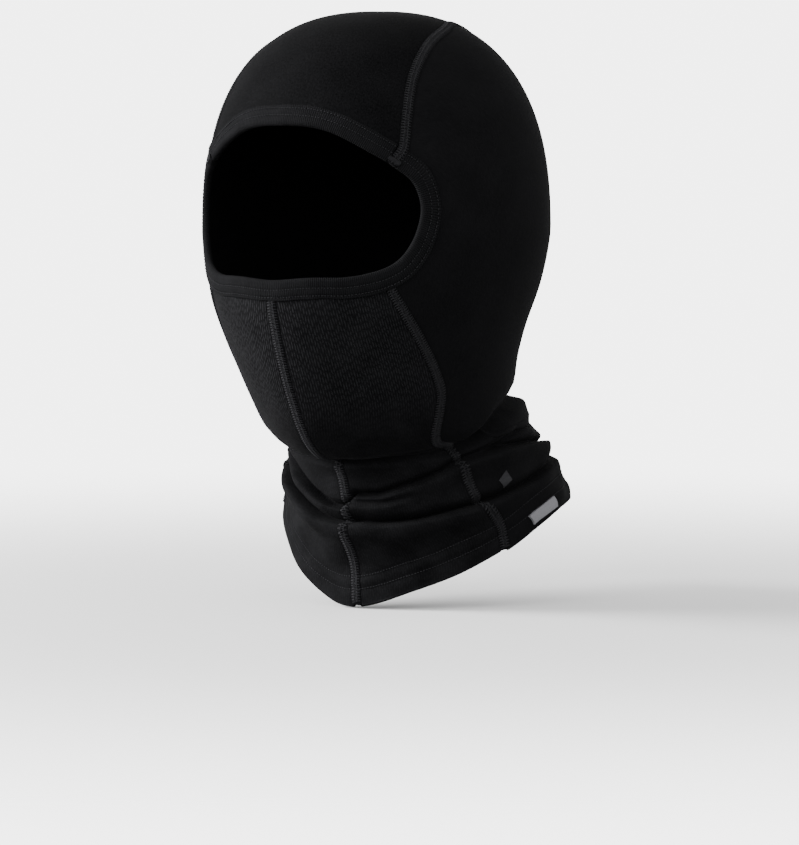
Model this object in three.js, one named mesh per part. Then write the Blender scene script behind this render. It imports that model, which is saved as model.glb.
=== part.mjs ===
// Balaclava: a close-fitting knitted hood for skiing and snowboarding, shaped as it sits on an adult head.
// Millimetres. +Z is up, the face looks along -Y and the wearer's left is +X.
// The origin is the centre of the head, level with the eyes and the ears.
//
// Every piece lies on one surface, the hood's outside. A place on that surface is a point of a flat chart:
// its distance from the chart's centre is the level (0 at the crown, HEM_LEVEL at the hem), and its
// direction is the angle around the head (0 at the face, positive towards the wearer's left).
// A piece is then given by its outline on the chart and by heights above (+) or below (-) the surface.

import * as THREE from 'three';
import { mergeVertices } from 'three/addons/utils/BufferGeometryUtils.js';

// ---- Driving dimensions ----

const HEAD = { halfWidth: 81, halfDepth: 101.5, height: 109, roundness: 2.45, middle: 2, lean: -0.005 };
const HEM_LEVEL = 2.3;

const FABRIC_THICKNESS = 1.2;
const HEM_THICKNESS = 2.6;   // the fabric turned up inside and stitched down
const HEM_DEPTH = 15;
const GAP = 0.35;            // clearance between neighbouring pieces
const SEAM_WIDTH = 5.5;      // flatlock seam: the two butted edges under their covering threads
const SEAM_SIDE = SEAM_WIDTH / 2 + GAP;

const BINDING_WIDTH = 10.5;  // the binding folded over the edge of the face opening
const BINDING_COVER = 0.9;   // thickness of each of its two layers
const BINDING_SLOT = 1.1;    // from its fold to the bottom of the slot that takes the fabric's edge
const SLOT_GAP = 0.6;        // clearance between the fabric's edge and the binding's layers
const BINDING_END = SEAM_SIDE + 0.6;   // from the crown seam's middle to the bindings' ends
const PANEL_INSET = BINDING_SLOT + 0.9;
const BINDING_TOP = SLOT_GAP + BINDING_COVER;
const BINDING_BOTTOM = -(FABRIC_THICKNESS + SLOT_GAP + BINDING_COVER);

const THREAD_WIDTH = 0.9;
const THREAD_HEIGHT = 0.4;
const BINDING_ROWS = { inner: 5.0, outer: 8.7 };   // distance of the stitch rows from the binding's fold
const HEM_ROWS = { lower: 8.0, upper: 14.5 };      // distance of the stitch rows from the hem's edge
const HEM_ROW_BASE = 2 * GAP;                      // they ride over the seams and the bend above the hem

// The hood below the brow, as rings: level, front point (y, z), back point (y, z), half width, taper (the
// share by which the ring's front half is pinched towards the nose and the chin), rise (how far its two
// sides lie above the plane through front and back) and skew (how far the left side hangs below the right).
const RINGS = [
  { level: 0.85, front: [-99.5, 28], back: [103.5, 28], halfWidth: 81, taper: 0, rise: 0, skew: 0 },
  { level: 1.0, front: [-99.5, 0], back: [103.5, 0], halfWidth: 81, taper: 0, rise: 0, skew: 0 },
  { level: 1.15, front: [-102, -28], back: [101, -25], halfWidth: 76, taper: 0.04, rise: 0, skew: 0 },
  { level: 1.3, front: [-94, -55], back: [89.5, -48], halfWidth: 69.5, taper: 0.14, rise: 0, skew: 0 },
  { level: 1.45, front: [-82.5, -80], back: [84.5, -66], halfWidth: 64.5, taper: 0.26, rise: 0, skew: 0 },
  { level: 1.6, front: [-69, -100.5], back: [88.5, -82], halfWidth: 61, taper: 0.34, rise: 0, skew: 0 },
  { level: 1.7, front: [-55.5, -110], back: [95.5, -94], halfWidth: 60, taper: 0.3, rise: 4, skew: 1 },
  { level: 1.8, front: [-37, -114.5], back: [103, -103], halfWidth: 61.5, taper: 0.1, rise: 11, skew: 3 },
  { level: 1.92, front: [-30, -133], back: [110, -112], halfWidth: 62.5, taper: 0, rise: 16, skew: 6 },
  { level: 2.05, front: [-30, -150], back: [117, -120], halfWidth: 66.5, taper: 0, rise: 18, skew: 8 },
  { level: 2.18, front: [-22, -168], back: [123, -127], halfWidth: 70, taper: 0, rise: 24, skew: 10 },
  { level: 2.3, front: [-20, -187], back: [126, -131], halfWidth: 72, taper: 0, rise: 28, skew: 10.5 },
  { level: 2.42, front: [-20, -205], back: [126, -135], halfWidth: 72, taper: 0, rise: 28, skew: 10.5 },
];

// How far the hem stands above its plain course in front, as [angle, mm]; this fades out SWAY_REACH higher.
const HEM_SWAY = [[-40, 0], [-14, -2], [24, 6], [75, 0], [118, -4], [165, 0]];
const SWAY_REACH = 0.3;

// Guide lines on the wearer's left half, as [angle in degrees, level]; the right half mirrors them.
const OPENING_EDGE = [
  [0, 0.691], [18, 0.707], [31, 0.757], [40.5, 0.804], [48, 0.86], [50, 0.925],
  [48.5, 0.988], [44.7, 1.055], [37.8, 1.09], [24, 1.107], [0, 1.114],
];
const CROWN_SEAM = [
  [46, 0.672], [49.5, 0.556], [60, 0.43], [84, 0.325], [119, 0.28], [148, 0.42], [160, 0.74],
  [164, 1.05], [163, 1.35], [162, 1.65], [159, 1.95], [157, HEM_LEVEL],
];
const SIDE_SEAM = [
  [50, 1.216], [57.5, 1.304], [63, 1.39], [65.5, 1.464], [64.5, 1.53], [62, 1.6], [58, 1.69],
  [54.5, 1.78], [54, 1.87], [56, 1.97], [60, 2.07], [61, 2.16], [61.5, HEM_LEVEL],
];

const COLOURS = {
  crown: 0x1f1f23, side: 0x1b1b1e, front: 0x222226, binding: 0x27272b, seam: 0x3b3b40,
  thread: 0x4c4c52, tab: 0xb9bcc0, label: 0xe4e4e1, mark: 0x6d6f73,
};

// ---- The hood's outside surface ----

const chart = (angle, level) => {
  const turn = THREE.MathUtils.degToRad(angle);
  return new THREE.Vector2(level * Math.sin(turn), -level * Math.cos(turn));
};

const polar = (place) => new THREE.Vector2(Math.atan2(place.x, -place.y), place.length());

const fromPolar = (pair) => new THREE.Vector2(pair.y * Math.sin(pair.x), -pair.y * Math.cos(pair.x));

const mirrored = (place) => new THREE.Vector2(-place.x, place.y);

// A line drawn for the wearer's left (hand 1), or its mirror image on the right (hand -1).
const onSide = (hand) => (line) => (hand > 0 ? line : line.map(mirrored));

function ringValues(ring) {
  return [...ring.front, ...ring.back, ring.halfWidth, ring.taper, ring.rise, ring.skew];
}

function ringSlope(index) {
  const below = RINGS[Math.max(index - 1, 0)];
  const above = RINGS[Math.min(index + 1, RINGS.length - 1)];
  const low = ringValues(below);
  return ringValues(above).map((value, i) => (value - low[i]) / (above.level - below.level));
}

// A smooth (cubic) reading of the ring table at one level.
function ringAt(level) {
  const wanted = THREE.MathUtils.clamp(level, RINGS[1].level, RINGS[RINGS.length - 1].level);
  let i = RINGS.length - 2;
  while (RINGS[i].level > wanted) i -= 1;
  const step = RINGS[i + 1].level - RINGS[i].level;
  const s = (wanted - RINGS[i].level) / step;
  const [start, end] = [ringValues(RINGS[i]), ringValues(RINGS[i + 1])];
  const [startSlope, endSlope] = [ringSlope(i), ringSlope(i + 1)];
  return start.map((value, k) => value * (2 * s ** 3 - 3 * s ** 2 + 1)
    + startSlope[k] * step * (s ** 3 - 2 * s ** 2 + s)
    + end[k] * (3 * s ** 2 - 2 * s ** 3)
    + endSlope[k] * step * (s ** 3 - s ** 2));
}

function domePoint(angle, level) {
  const lift = level * Math.PI / 2;
  const [across, up] = [Math.sin(lift), Math.cos(lift)];
  const size = (across ** HEAD.roundness + up ** HEAD.roundness) ** (-1 / HEAD.roundness);
  const z = HEAD.height * size * up;
  const x = HEAD.halfWidth * size * across * Math.sin(angle);
  const y = HEAD.middle + HEAD.lean * z - HEAD.halfDepth * size * across * Math.cos(angle);
  return new THREE.Vector3(x, y, z);
}

function hemSway(angle, level) {
  const degrees = THREE.MathUtils.radToDeg(angle);
  let sway = 0;
  for (let i = 1; i < HEM_SWAY.length; i += 1) {
    const [[start, low], [end, high]] = [HEM_SWAY[i - 1], HEM_SWAY[i]];
    sway += (high - low) * THREE.MathUtils.smoothstep(degrees, start, end);
  }
  return sway * THREE.MathUtils.smoothstep(level, HEM_LEVEL - SWAY_REACH, HEM_LEVEL);
}

function tubePoint(angle, level) {
  const [frontY, frontZ, backY, backZ, halfWidth, taper, rise, skew] = ringAt(level);
  const [sin, cos] = [Math.sin(angle), Math.cos(angle)];
  const [middleY, middleZ] = [(frontY + backY) / 2, (frontZ + backZ) / 2];
  const [reachY, reachZ] = [(frontY - backY) / 2 * cos, (frontZ - backZ) / 2 * cos];
  const pinch = 1 - taper * Math.max(cos, 0) ** 2;
  const lift = rise * sin ** 2 - skew * sin + hemSway(angle, level);
  return new THREE.Vector3(halfWidth * sin * pinch, middleY + reachY, middleZ + reachZ + lift);
}

function skin(place) {
  const { x: angle, y: level } = polar(place);
  return level <= 1 ? domePoint(angle, level) : tubePoint(angle, level);
}

// The surface's point, its outward normal, and how the point moves along the chart's two directions.
function skinFrame(place) {
  const step = 1e-3;
  const slope = (dx, dy) => {
    const ahead = skin(new THREE.Vector2(place.x + dx, place.y + dy));
    const behind = skin(new THREE.Vector2(place.x - dx, place.y - dy));
    return ahead.sub(behind).divideScalar(2 * step);
  };
  const [alongX, alongY] = [slope(step, 0), slope(0, step)];
  const normal = alongX.clone().cross(alongY).normalize();
  return { point: skin(place), normal, alongX, alongY };
}

function raised(place, height) {
  const { point, normal } = skinFrame(place);
  return point.addScaledVector(normal, height);
}

// The place that lies a given distance away over the surface, in the direction of a 3-D vector.
function shifted(place, direction, distance) {
  const { alongX, alongY } = skinFrame(place);
  const [a, b, c] = [alongX.dot(alongX), alongX.dot(alongY), alongY.dot(alongY)];
  const [p, q] = [alongX.dot(direction), alongY.dot(direction)];
  const scale = distance / (a * c - b * b);
  return new THREE.Vector2(place.x + (c * p - b * q) * scale, place.y + (a * q - b * p) * scale);
}

// Distance from a place down to the hem's edge.
function heightOverHem(place) {
  return skin(place).distanceTo(skin(place.clone().setLength(HEM_LEVEL)));
}

// The place straight up from the hem, at a distance over the surface.
function aboveHem(angle, distance) {
  const place = chart(angle, HEM_LEVEL);
  const step = 0.002;
  let travelled = 0;
  while (travelled < distance) {
    const before = skin(place);
    place.setLength(place.length() - step);
    travelled += before.distanceTo(skin(place));
  }
  return place;
}

const fabricBottom = (place) => (heightOverHem(place) < HEM_DEPTH ? -HEM_THICKNESS : -FABRIC_THICKNESS);

// ---- Guide lines ----

// A smooth line through places, read by its length over the surface.
function smoothLine(places, closed = false) {
  const curve = new THREE.CatmullRomCurve3(
    places.map((place) => new THREE.Vector3(place.x, place.y, 0)), closed, 'centripetal');
  const fine = curve.getPoints(400).map((p) => new THREE.Vector2(p.x, p.y));
  const distances = [0];
  for (let i = 1; i < fine.length; i += 1) {
    distances.push(distances[i - 1] + skin(fine[i]).distanceTo(skin(fine[i - 1])));
  }
  const total = distances[distances.length - 1];
  const at = (distance) => {
    let i = 1;
    while (i < fine.length - 1 && distances[i] < distance) i += 1;
    const share = (distance - distances[i - 1]) / (distances[i] - distances[i - 1]);
    return fine[i - 1].clone().lerp(fine[i], THREE.MathUtils.clamp(share, 0, 1));
  };
  const part = (from, to, steps) => Array.from(
    { length: steps + 1 }, (_, i) => at(from + (to - from) * i / steps));
  return { total, at, part };
}

// The line moved sideways over the surface; positive is to the left of its direction, seen from outside.
function sideways(line, distance) {
  return line.map((place, i) => {
    const ahead = skin(line[Math.min(i + 1, line.length - 1)]);
    const direction = ahead.sub(skin(line[Math.max(i - 1, 0)])).normalize();
    const side = skinFrame(place).normal.cross(direction);
    return shifted(place, side, distance);
  });
}

const byAngle = (pairs) => pairs.map(([angle, level]) => chart(angle, level));

// The opening's edge runs from the brow's middle over the wearer's left to the middle below, and back.
const leftEdge = byAngle(OPENING_EDGE);
const rightEdge = leftEdge.slice(1, -1).reverse().map(mirrored);
const opening = smoothLine([...leftEdge, ...rightEdge], true);

function nearestOnOpening(place) {
  let best = 0;
  for (let distance = 0; distance < opening.total / 2; distance += 0.25) {
    const gap = skin(opening.at(distance)).distanceTo(skin(place));
    if (gap < skin(opening.at(best)).distanceTo(skin(place))) best = distance;
  }
  return best;
}

// Outward from the opening, over the fabric.
function offOpening(distance, reach) {
  const line = [opening.at(distance - 1), opening.at(distance), opening.at(distance + 1)];
  return sideways(line, reach)[1];
}

const crownStart = nearestOnOpening(chart(40.5, 0.8));
const sideStart = nearestOnOpening(chart(40, 1.09));
const centreStart = opening.total / 2;

const seamFrom = (start, reach, guide) => [
  offOpening(start, reach), offOpening(start, BINDING_WIDTH), ...guide];

const crownLine = smoothLine(seamFrom(crownStart, 0.4, byAngle(CROWN_SEAM)));
const sideLine = smoothLine(seamFrom(sideStart, PANEL_INSET, byAngle(SIDE_SEAM)));
const centreLine = smoothLine([offOpening(centreStart, PANEL_INSET), chart(0, 1.5), chart(0, HEM_LEVEL)]);

// A seam and the panels beside it share these stations, so that their edges run side by side.
const OPENING_ROWS = 11;     // rows of the side panel that start at the face opening
const crownStations = [0, PANEL_INSET - 0.4, 5, BINDING_WIDTH].map(crownLine.at).concat(
  crownLine.part(BINDING_WIDTH + 1, crownLine.total, 42));
const CROWN_TURN = 19;       // the station where the side panel's top becomes its back edge
const sideRows = crownStations.length - 1 - CROWN_TURN - OPENING_ROWS;
const sideStations = sideLine.part(0, sideLine.total, sideRows);
const centreStations = centreLine.part(0, centreLine.total, sideRows);

// ---- Solids ----

function closedMesh(name, colour, corners, faces) {
  const geometry = new THREE.BufferGeometry();
  const rounded = corners.flatMap((c) => [c.x, c.y, c.z].map((value) => Math.round(value * 1e4) / 1e4));
  geometry.setAttribute('position', new THREE.Float32BufferAttribute(rounded, 3));
  geometry.setIndex(faces.flat());
  const merged = mergeVertices(geometry, 1e-3);
  const index = merged.getIndex().array;
  const kept = [];
  for (let i = 0; i < index.length; i += 3) {
    const [a, b, c] = [index[i], index[i + 1], index[i + 2]];
    if (a !== b && b !== c && c !== a) kept.push(a, b, c);
  }
  merged.setIndex(kept);
  if (volumeOf(merged) < 0) {
    for (let i = 0; i < kept.length; i += 3) [kept[i], kept[i + 1]] = [kept[i + 1], kept[i]];
    merged.setIndex(kept);
  }
  merged.computeVertexNormals();
  const material = new THREE.MeshStandardMaterial({ color: colour, roughness: 0.95, metalness: 0 });
  const mesh = new THREE.Mesh(merged, material);
  mesh.name = name;
  return mesh;
}

function volumeOf(geometry) {
  const position = geometry.getAttribute('position');
  const index = geometry.getIndex().array;
  const corner = (i) => new THREE.Vector3().fromBufferAttribute(position, index[i]);
  let total = 0;
  for (let i = 0; i < index.length; i += 3) {
    total += corner(i).dot(corner(i + 1).cross(corner(i + 2))) / 6;
  }
  return total;
}

// A panel: a net of places, closed between its outside and its inside.
function panel(name, colour, net) {
  const [rows, columns] = [net.length, net[0].length];
  const corners = [];
  for (const row of net) for (const place of row) corners.push(raised(place, 0));
  for (const row of net) for (const place of row) corners.push(raised(place, fabricBottom(place)));
  const inside = rows * columns;
  const faces = [];
  const quad = (a, b, c, d) => faces.push([a, b, c], [a, c, d]);
  for (let i = 0; i < rows - 1; i += 1) {
    for (let j = 0; j < columns - 1; j += 1) {
      const [a, b] = [i * columns + j, (i + 1) * columns + j];
      quad(a, b, b + 1, a + 1);
      quad(inside + a, inside + a + 1, inside + b + 1, inside + b);
    }
  }
  const rim = [];
  for (let j = 0; j < columns - 1; j += 1) rim.push(j);
  for (let i = 0; i < rows - 1; i += 1) rim.push(i * columns + columns - 1);
  for (let j = columns - 1; j > 0; j -= 1) rim.push((rows - 1) * columns + j);
  for (let i = rows - 1; i > 0; i -= 1) rim.push(i * columns);
  rim.forEach((a, i) => {
    const b = rim[(i + 1) % rim.length];
    quad(a, b, inside + b, inside + a);
  });
  return closedMesh(name, colour, corners, faces);
}

// A strip along a line: its section is a closed outline of [distance sideways, height] points.
function strip(name, colour, line, sectionAt, closed = false) {
  const sections = line.map((place, i) => sectionAt(place, i));
  const sides = sections[0].length;
  const spread = (i) => {
    const last = line.length - 1;
    const before = line[closed ? (i + last) % line.length : Math.max(i - 1, 0)];
    const after = line[closed ? (i + 1) % line.length : Math.min(i + 1, last)];
    const direction = skin(after).sub(skin(before)).normalize();
    const side = skinFrame(line[i]).normal.cross(direction);
    return sections[i].map(([across, height]) => raised(shifted(line[i], side, across), height));
  };
  const corners = line.flatMap((_, i) => spread(i));
  const faces = [];
  const spans = closed ? line.length : line.length - 1;
  for (let i = 0; i < spans; i += 1) {
    for (let k = 0; k < sides; k += 1) {
      const [a, b] = [i * sides + k, i * sides + (k + 1) % sides];
      const [c, d] = [a, b].map((corner) => (corner + sides) % corners.length);
      faces.push([a, c, d], [a, d, b]);
    }
  }
  if (!closed) {
    const outline = sections[0].map(([across, height]) => new THREE.Vector2(across, height));
    const cap = THREE.ShapeUtils.triangulateShape(outline, []);
    const end = (line.length - 1) * sides;
    const clockwise = THREE.ShapeUtils.isClockWise(outline);
    for (const [a, b, c] of cap) {
      faces.push(clockwise ? [a, c, b] : [a, b, c]);
      faces.push(clockwise ? [end + a, end + b, end + c] : [end + a, end + c, end + b]);
    }
  }
  return closedMesh(name, colour, corners, faces);
}

const oblong = (halfWidth, bottom, top) => [
  [-halfWidth, bottom], [halfWidth, bottom], [halfWidth, top], [-halfWidth, top]];

// ---- Fabric panels ----

const between = (a, b, share) => a.clone().lerp(b, share);

// Fills the net between two long edges; the first row follows its own line, and the fill fades from it.
function net(start, end, columns, firstRow, mix, fade) {
  return start.map((place, i) => {
    const hold = firstRow ? Math.max(0, 1 - i / fade) ** 2 : 0;
    return Array.from({ length: columns + 1 }, (_, j) => {
      const flat = mix(place, end[i], j / columns);
      if (!hold) return flat;
      const base = mix(start[0], end[0], j / columns);
      return flat.add(firstRow[j].clone().sub(base).multiplyScalar(hold));
    });
  });
}

function polarMix(a, b, share) {
  return fromPolar(between(polar(a), polar(b), share));
}

function crownPanel() {
  const left = sideways(crownStations, SEAM_SIDE).slice(1);
  const right = sideways(crownStations.map(mirrored), -SEAM_SIDE).slice(1);
  const columns = 14;
  const brow = Array.from({ length: columns + 1 }, (_, j) => {
    const reach = (crownStart - SEAM_SIDE) * (1 - 2 * j / columns);
    const place = offOpening((Math.abs(reach) + opening.total) % opening.total, PANEL_INSET);
    return reach < 0 ? mirrored(place) : place;
  });
  brow[0] = left[0];
  brow[columns] = right[0];
  const rows = net(left, right, columns, brow, between, 8);
  rows[rows.length - 1] = rows[rows.length - 1].map(
    (_, j) => polarMix(left[left.length - 1], chart(180, HEM_LEVEL), Math.min(1, 2 * j / columns)));
  const hem = rows[rows.length - 1];
  for (let j = columns / 2 + 1; j <= columns; j += 1) hem[j] = mirrored(hem[columns - j]);
  return panel('crown_panel', COLOURS.crown, rows);
}

// Four-sided: the front edge follows the opening and the side seam, the back edge and the top follow the
// crown seam below and before its turn, and the last row is the hem.
function sidePanelNet(hand) {
  const on = onSide(hand);
  const upper = opening.part(crownStart + SEAM_SIDE, sideStart - SEAM_SIDE, OPENING_ROWS);
  const front = [
    ...on(sideways(upper, PANEL_INSET)).slice(0, -1), ...sideways(on(sideStations), hand * SEAM_SIDE)];
  const crown = sideways(on(crownStations), -hand * SEAM_SIDE);
  const [top, back] = [crown.slice(1, CROWN_TURN + 1), crown.slice(CROWN_TURN)];
  front[0] = top[0];
  return net(front, back, top.length - 1, top, polarMix, front.length);
}

function frontPanelNet(hand) {
  const columns = 8;
  const on = onSide(hand);
  const centre = sideways(centreStations, hand * SEAM_SIDE);
  const side = sideways(on(sideStations), -hand * SEAM_SIDE);
  const [from, to] = [centreStart - SEAM_SIDE, sideStart + SEAM_SIDE];
  const firstRow = on(Array.from(
    { length: columns + 1 }, (_, j) => offOpening(from + (to - from) * j / columns, PANEL_INSET)));
  firstRow[0] = centre[0];
  firstRow[columns] = side[0];
  return net(centre, side, columns, firstRow, polarMix, 6);
}

// ---- Bindings, seams and stitch rows ----

const BINDING_SECTION = [
  [0, -FABRIC_THICKNESS / 2], [0.5, BINDING_TOP - 0.35], [2, BINDING_TOP], [BINDING_WIDTH, BINDING_TOP],
  [BINDING_WIDTH, SLOT_GAP], [BINDING_SLOT, SLOT_GAP], [BINDING_SLOT, -FABRIC_THICKNESS - SLOT_GAP],
  [BINDING_WIDTH, -FABRIC_THICKNESS - SLOT_GAP], [BINDING_WIDTH, BINDING_BOTTOM], [2, BINDING_BOTTOM],
  [0.5, BINDING_BOTTOM + 0.35],
];

const browSpan = () => {
  const reach = crownStart - BINDING_END;
  const steps = 2 * Math.round(reach / 6);
  return Array.from({ length: steps + 1 }, (_, i) => {
    const distance = reach * (2 * i / steps - 1);
    return distance < 0 ? mirrored(opening.at(-distance)) : opening.at(distance);
  });
};

const faceSpan = () => {
  const [from, to] = [crownStart + BINDING_END, opening.total - crownStart - BINDING_END];
  return opening.part(from, to, Math.round((to - from) / 6));
};

const threadRow = (name, line, across, base, closed) => strip(
  name, COLOURS.thread, sideways(line, across),
  () => oblong(THREAD_WIDTH / 2, base + GAP, base + GAP + THREAD_HEIGHT), closed);

// The seam is flush with the panels, and as thick as the binding where it passes through it.
function crownSeam(name, line) {
  return strip(name, COLOURS.seam, line, (place, i) => (i < 4
    ? oblong(SEAM_WIDTH / 2, BINDING_BOTTOM, BINDING_TOP)
    : oblong(SEAM_WIDTH / 2, fabricBottom(place), 0)));
}

const plainSeam = (name, line) => strip(
  name, COLOURS.seam, line, (place) => oblong(SEAM_WIDTH / 2, fabricBottom(place), 0));

function hemLine(distance) {
  const steps = 72;
  return Array.from({ length: steps }, (_, i) => aboveHem(i * 360 / steps, distance));
}

const hemRow = (name, distance) => strip(
  name, COLOURS.thread, hemLine(distance),
  () => oblong(THREAD_WIDTH / 2, HEM_ROW_BASE, HEM_ROW_BASE + THREAD_HEIGHT), true);

// ---- Small pieces ----

const BARTACK = { length: 6, width: 2, height: 0.7, fromEdge: 2.2 };

const bartackLine = [-1, 0, 1].map(
  (end) => offOpening(crownStart + end * BARTACK.length / 2, BARTACK.fromEdge));

function bartack(name, line) {
  const bottom = BINDING_TOP + GAP;
  return strip(name, COLOURS.thread, line,
    () => oblong(BARTACK.width / 2, bottom, bottom + BARTACK.height));
}

const TAB = { length: 22, width: 5.5, thickness: 0.9, angle: 75, aboveHem: 5 };

// The woven tab is sewn flat on the outside just above the hem on the wearer's left, and slopes with it.
function sideTab() {
  const guide = [0, 8, 16, 24].map((turn) => aboveHem(TAB.angle + turn, TAB.aboveHem));
  const line = smoothLine(guide).part(0, TAB.length, 4);
  const bottom = HEM_ROW_BASE + THREAD_HEIGHT + GAP;
  return strip('side_tab', COLOURS.tab, line,
    () => oblong(TAB.width / 2, bottom, bottom + TAB.thickness));
}

const LABEL = { width: 24, height: 32, thickness: 0.4, aboveHem: 16 };

// The care label hangs inside, against the back of the neck.
function careLabel() {
  const guide = [0, 1, 2, 3].map((i) => aboveHem(180, LABEL.aboveHem + i * LABEL.height / 3));
  const bottom = -HEM_THICKNESS - 2 * GAP - LABEL.thickness;
  return strip('care_label', COLOURS.label, guide, () => {
    const half = LABEL.width / 2;
    const across = [-1, -0.5, 0, 0.5, 1].map((share) => share * half);
    const under = across.map((d) => [d, bottom]);
    const over = across.map((d) => [d, bottom + LABEL.thickness]).reverse();
    return [...under, ...over];
  });
}

const MARK = { size: 9, thickness: 0.3, angle: 72, level: 1.985 };

// A plain printed diamond.
function printedMark() {
  const middle = chart(MARK.angle, MARK.level);
  const up = new THREE.Vector3(0, 0, 1);
  const line = [-1, 0, 1].map((i) => shifted(middle, up, i * MARK.size / 2));
  return strip('printed_mark', COLOURS.mark, line,
    (_, i) => oblong(i === 1 ? MARK.size / 2 : 0.4, GAP, GAP + MARK.thickness));
}

// ---- Assembly ----

const bothSides = (make) => [make('left', 1), make('right', -1)];

const balaclava = new THREE.Group();
balaclava.add(crownPanel());
balaclava.add(...bothSides((side, hand) => panel(
  `side_panel_${side}`, COLOURS.side, sidePanelNet(hand))));
balaclava.add(...bothSides((side, hand) => panel(
  `front_panel_${side}`, COLOURS.front, frontPanelNet(hand))));
balaclava.add(strip('forehead_binding', COLOURS.binding, browSpan(), () => BINDING_SECTION));
balaclava.add(strip('face_binding', COLOURS.binding, faceSpan(), () => BINDING_SECTION));
balaclava.add(...bothSides((side, hand) => crownSeam(`crown_seam_${side}`, onSide(hand)(crownStations))));
balaclava.add(...bothSides((side, hand) => plainSeam(`side_seam_${side}`, onSide(hand)(sideStations))));
balaclava.add(plainSeam('centre_front_seam', centreStations));
for (const [row, distance] of Object.entries(BINDING_ROWS)) {
  balaclava.add(threadRow(`forehead_stitch_row_${row}`, browSpan(), distance, BINDING_TOP, false));
  balaclava.add(threadRow(`face_stitch_row_${row}`, faceSpan(), distance, BINDING_TOP, false));
}
for (const [row, distance] of Object.entries(HEM_ROWS)) {
  balaclava.add(hemRow(`hem_stitch_row_${row}`, distance));
}
balaclava.add(...bothSides((side, hand) => bartack(`crown_bartack_${side}`, onSide(hand)(bartackLine))));
balaclava.add(sideTab(), careLabel(), printedMark());

export default balaclava;
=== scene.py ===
"""Balaclava: a knitted hood for skiing, shown as it sits on a head, with a gathered neck.

Millimetres in all the shape code, metres in the meshes. The face looks along -Y, +X is the wearer's left.
Every piece lies on one surface, the hood's outside, as in the CAD source. A place on that surface is a
point of a flat chart: its distance from the centre is the level (0 at the crown, HEM_LEVEL at the hem),
and its direction is the angle round the head (0 at the face, positive towards the wearer's left).
The folds of the neck are a displacement of that surface, so panels, seams and threads all follow them.
"""
import math

import bpy
import numpy as np
from mathutils import Matrix, Vector


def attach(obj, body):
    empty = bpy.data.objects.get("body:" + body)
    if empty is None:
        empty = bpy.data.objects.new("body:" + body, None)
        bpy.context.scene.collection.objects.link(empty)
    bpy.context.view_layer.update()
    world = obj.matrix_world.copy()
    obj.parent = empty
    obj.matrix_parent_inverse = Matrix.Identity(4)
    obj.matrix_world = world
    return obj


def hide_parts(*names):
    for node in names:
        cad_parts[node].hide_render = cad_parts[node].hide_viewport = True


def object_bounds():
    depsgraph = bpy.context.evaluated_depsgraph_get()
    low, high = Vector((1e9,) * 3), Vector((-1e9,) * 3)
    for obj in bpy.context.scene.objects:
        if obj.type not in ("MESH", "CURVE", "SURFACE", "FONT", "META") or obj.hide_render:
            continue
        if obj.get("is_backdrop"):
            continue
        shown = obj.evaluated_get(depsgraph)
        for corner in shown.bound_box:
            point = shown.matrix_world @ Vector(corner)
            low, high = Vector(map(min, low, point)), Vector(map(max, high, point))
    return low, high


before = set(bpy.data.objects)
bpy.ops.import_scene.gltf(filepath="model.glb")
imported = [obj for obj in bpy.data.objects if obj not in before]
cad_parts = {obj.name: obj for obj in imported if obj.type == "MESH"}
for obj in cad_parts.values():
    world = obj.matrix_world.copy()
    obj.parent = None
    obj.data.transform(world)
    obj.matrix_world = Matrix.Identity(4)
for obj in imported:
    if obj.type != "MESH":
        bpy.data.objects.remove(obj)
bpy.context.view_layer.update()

MM = 0.001
SIDES = {"left": 1, "right": -1}

# ---- Dimensions shared with the CAD source ----

HALF_WIDTH, HALF_DEPTH, HEIGHT, ROUNDNESS, MIDDLE, LEAN = 81, 101.5, 109, 2.45, 2, -0.005
HEM_LEVEL = 2.3
FABRIC = 1.2                 # thickness of the fabric
HEM_THICKNESS, HEM_DEPTH = 2.6, 15
SEAM_WIDTH, SEAM_SIDE = 5.5, 2.2  # the panels' edges tuck under the seam
BINDING_WIDTH, BINDING_BOTTOM = 10.5, -2.7
BINDING_END = 2.5            # from the crown seam's middle to the bindings' ends
PANEL_INSET = 2.0
BINDING_SKIN = 0.95          # how far the binding stands over the fabric
BINDING_ROWS = {"inner": 5.0, "outer": 8.7}
HEM_ROWS = {"lower": 8.0, "upper": 14.5}
TAB_ANGLE, TAB_ABOVE_HEM, TAB_LENGTH, TAB_HALF_WIDTH = 75.0, 5.0, 22, 2.75
LABEL_ABOVE_HEM, LABEL_LENGTH, LABEL_HALF_WIDTH, LABEL_HEIGHT = 16, 32, 12, -3.9
MARK_ANGLE, MARK_LEVEL, MARK_HALF_WIDTH = 72.0, 1.985, 4.5

# level, front y, front z, back y, back z, half width, taper, rise, skew
RINGS = np.array([
    [0.85, -99.5, 28, 103.5, 28, 81, 0, 0, 0],
    [1.0, -99.5, 0, 103.5, 0, 81, 0, 0, 0],
    [1.15, -102, -28, 101, -25, 76, 0.04, 0, 0],
    [1.3, -94, -55, 89.5, -48, 69.5, 0.14, 0, 0],
    [1.45, -82.5, -80, 84.5, -66, 64.5, 0.26, 0, 0],
    [1.6, -69, -100.5, 88.5, -82, 61, 0.34, 0, 0],
    [1.7, -55.5, -110, 95.5, -94, 60, 0.3, 4, 1],
    [1.8, -37, -114.5, 103, -103, 61.5, 0.1, 11, 3],
    [1.92, -30, -133, 110, -112, 62.5, 0, 16, 6],
    [2.05, -30, -150, 117, -120, 66.5, 0, 18, 8],
    [2.18, -22, -168, 123, -127, 70, 0, 24, 10],
    [2.3, -20, -187, 126, -131, 72, 0, 28, 10.5],
    [2.42, -20, -205, 126, -135, 72, 0, 28, 10.5],
])

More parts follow.
